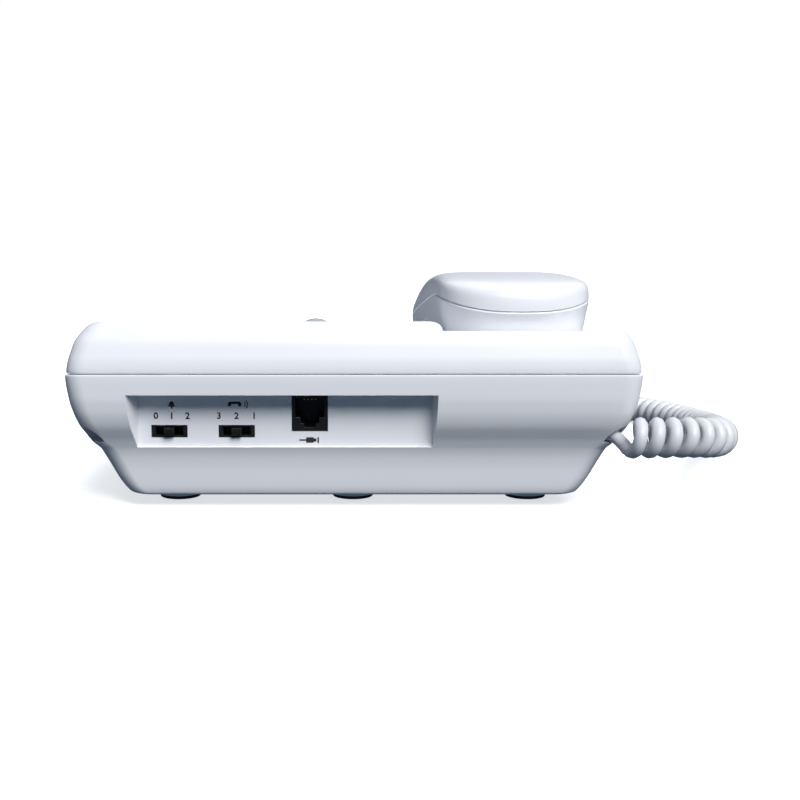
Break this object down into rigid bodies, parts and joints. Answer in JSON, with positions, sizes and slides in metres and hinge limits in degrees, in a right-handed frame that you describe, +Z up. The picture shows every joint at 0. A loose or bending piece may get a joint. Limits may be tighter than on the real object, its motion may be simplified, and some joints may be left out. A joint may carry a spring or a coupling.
{
  "type": "corded desk telephone",
  "caption": "Wedge-shaped desk telephone seen with keypad deck, handset in its cradle, rear line socket with slide switches, and a curly handset cord.",
  "frame": {"origin": "on the table under the middle of the base", "axes": "+Z up, +Y out of the rear face with the line socket, -X the handset's side"},
  "size_m": [0.2685, 0.2477, 0.0806],
  "materials": {
    "housing_white": "satin moulded plastic",
    "handset_white": "satin moulded plastic",
    "key_white": "satin moulded plastic",
    "foot_rubber": "matt",
    "keypad_rubber": "matt silicone",
    "plated_steel": "zinc plated",
    "circuit_board": "solder mask",
    "black_plastic": "satin",
    "jack_white": "satin",
    "contact_gold": "polished",
    "wire_insulation": "satin",
    "lens_grey": "translucent gloss",
    "plug_clear": "clear gloss",
    "cord_white": "satin vinyl"
  },
  "bodies": {
    "root": {"bottom_housing": "housing_white", "top_housing": "housing_white", "foot_pads": "foot_rubber", "ballast_plate": "plated_steel", "main_board": "circuit_board", "keypad_board": "circuit_board", "keypad_mat": "keypad_rubber", "line_jack": "black_plastic", "line_jack_contacts": "contact_gold", "handset_jack": "jack_white", "handset_jack_contacts": "contact_gold", "ringer_switch_body": "black_plastic", "volume_switch_body": "black_plastic", "ringer_speaker": "black_plastic", "ringer_wires": "wire_insulation", "board_ribbon": "wire_insulation", "hook_switch": "black_plastic", "hook_spring": "plated_steel", "case_screws": "plated_steel", "board_screws": "plated_steel", "indicator_lens": "lens_grey", "indicator_led": "lens_grey", "base_cord_plug": "plug_clear", "base_cord_tail": "cord_white", "cord_coil": "cord_white"},
    "handset": {"handset_back_shell": "handset_white", "handset_face_shell": "handset_white", "ear_receiver": "black_plastic", "receiver_gasket": "foot_rubber", "microphone": "plated_steel", "microphone_boot": "foot_rubber", "handset_weight": "plated_steel", "handset_socket": "jack_white", "handset_wires": "wire_insulation", "handset_screws": "plated_steel", "handset_cord_tail": "cord_white", "handset_cord_plug": "plug_clear"},
    "hook_plunger": {"hook_plunger": "key_white"},
    "ringer_knob": {"ringer_switch_knob": "black_plastic"},
    "volume_knob": {"volume_switch_knob": "black_plastic"},
    "key_1": {"key_1": "key_white"},
    "key_2": {"key_2": "key_white"},
    "key_3": {"key_3": "key_white"},
    "key_4": {"key_4": "key_white"},
    "key_5": {"key_5": "key_white"},
    "key_6": {"key_6": "key_white"},
    "key_7": {"key_7": "key_white"},
    "key_8": {"key_8": "key_white"},
    "key_9": {"key_9": "key_white"},
    "key_star": {"key_star": "key_white"},
    "key_0": {"key_0": "key_white"},
    "key_hash": {"key_hash": "key_white"},
    "key_flash": {"key_flash": "key_white"},
    "key_redial": {"key_redial": "key_white"},
    "key_mute": {"key_mute": "key_white"}
  },
  "joints": [
    {"name": "handset_lift", "type": "slide", "parent": "root", "child": "handset", "axis": [0, -0.1142, 0.9935], "range_m": [0, 0.07]},
    {"name": "hook_rise", "type": "slide", "parent": "root", "child": "hook_plunger", "axis": [0, -0.1142, 0.9935], "range_m": [0, 0.0035], "deforming": ["hook_spring"]},
    {"name": "ringer_slide", "type": "slide", "parent": "root", "child": "ringer_knob", "axis": [1, 0, 0], "range_m": [-0.0026, 0.0026]},
    {"name": "volume_slide", "type": "slide", "parent": "root", "child": "volume_knob", "axis": [1, 0, 0], "range_m": [-0.0026, 0.0026]},
    {"name": "key_1_press", "type": "slide", "parent": "root", "child": "key_1", "axis": [0, 0.1142, -0.9935], "range_m": [0, 0.0015], "stiffness_N_per_m": 400, "springref_m": -0.001},
    {"name": "key_2_press", "type": "slide", "parent": "root", "child": "key_2", "axis": [0, 0.1142, -0.9935], "range_m": [0, 0.0015], "stiffness_N_per_m": 400, "springref_m": -0.001},
    {"name": "key_3_press", "type": "slide", "parent": "root", "child": "key_3", "axis": [0, 0.1142, -0.9935], "range_m": [0, 0.0015], "stiffness_N_per_m": 400, "springref_m": -0.001},
    {"name": "key_4_press", "type": "slide", "parent": "root", "child": "key_4", "axis": [0, 0.1142, -0.9935], "range_m": [0, 0.0015], "stiffness_N_per_m": 400, "springref_m": -0.001},
    {"name": "key_5_press", "type": "slide", "parent": "root", "child": "key_5", "axis": [0, 0.1142, -0.9935], "range_m": [0, 0.0015], "stiffness_N_per_m": 400, "springref_m": -0.001},
    {"name": "key_6_press", "type": "slide", "parent": "root", "child": "key_6", "axis": [0, 0.1142, -0.9935], "range_m": [0, 0.0015], "stiffness_N_per_m": 400, "springref_m": -0.001},
    {"name": "key_7_press", "type": "slide", "parent": "root", "child": "key_7", "axis": [0, 0.1142, -0.9935], "range_m": [0, 0.0015], "stiffness_N_per_m": 400, "springref_m": -0.001},
    {"name": "key_8_press", "type": "slide", "parent": "root", "child": "key_8", "axis": [0, 0.1142, -0.9935], "range_m": [0, 0.0015], "stiffness_N_per_m": 400, "springref_m": -0.001},
    {"name": "key_9_press", "type": "slide", "parent": "root", "child": "key_9", "axis": [0, 0.1142, -0.9935], "range_m": [0, 0.0015], "stiffness_N_per_m": 400, "springref_m": -0.001},
    {"name": "key_star_press", "type": "slide", "parent": "root", "child": "key_star", "axis": [0, 0.1142, -0.9935], "range_m": [0, 0.0015], "stiffness_N_per_m": 400, "springref_m": -0.001},
    {"name": "key_0_press", "type": "slide", "parent": "root", "child": "key_0", "axis": [0, 0.1142, -0.9935], "range_m": [0, 0.0015], "stiffness_N_per_m": 400, "springref_m": -0.001},
    {"name": "key_hash_press", "type": "slide", "parent": "root", "child": "key_hash", "axis": [0, 0.1142, -0.9935], "range_m": [0, 0.0015], "stiffness_N_per_m": 400, "springref_m": -0.001},
    {"name": "key_flash_press", "type": "slide", "parent": "root", "child": "key_flash", "axis": [0, 0.1142, -0.9935], "range_m": [0, 0.0015], "stiffness_N_per_m": 400, "springref_m": -0.001},
    {"name": "key_redial_press", "type": "slide", "parent": "root", "child": "key_redial", "axis": [0, 0.1142, -0.9935], "range_m": [0, 0.0015], "stiffness_N_per_m": 400, "springref_m": -0.001},
    {"name": "key_mute_press", "type": "slide", "parent": "root", "child": "key_mute", "axis": [0, 0.1142, -0.9935], "range_m": [0, 0.0015], "stiffness_N_per_m": 400, "springref_m": -0.001}
  ],
  "couplings": [
    {"joint": "hook_rise", "follows": "handset_lift", "ratio": 0.05}
  ]
}
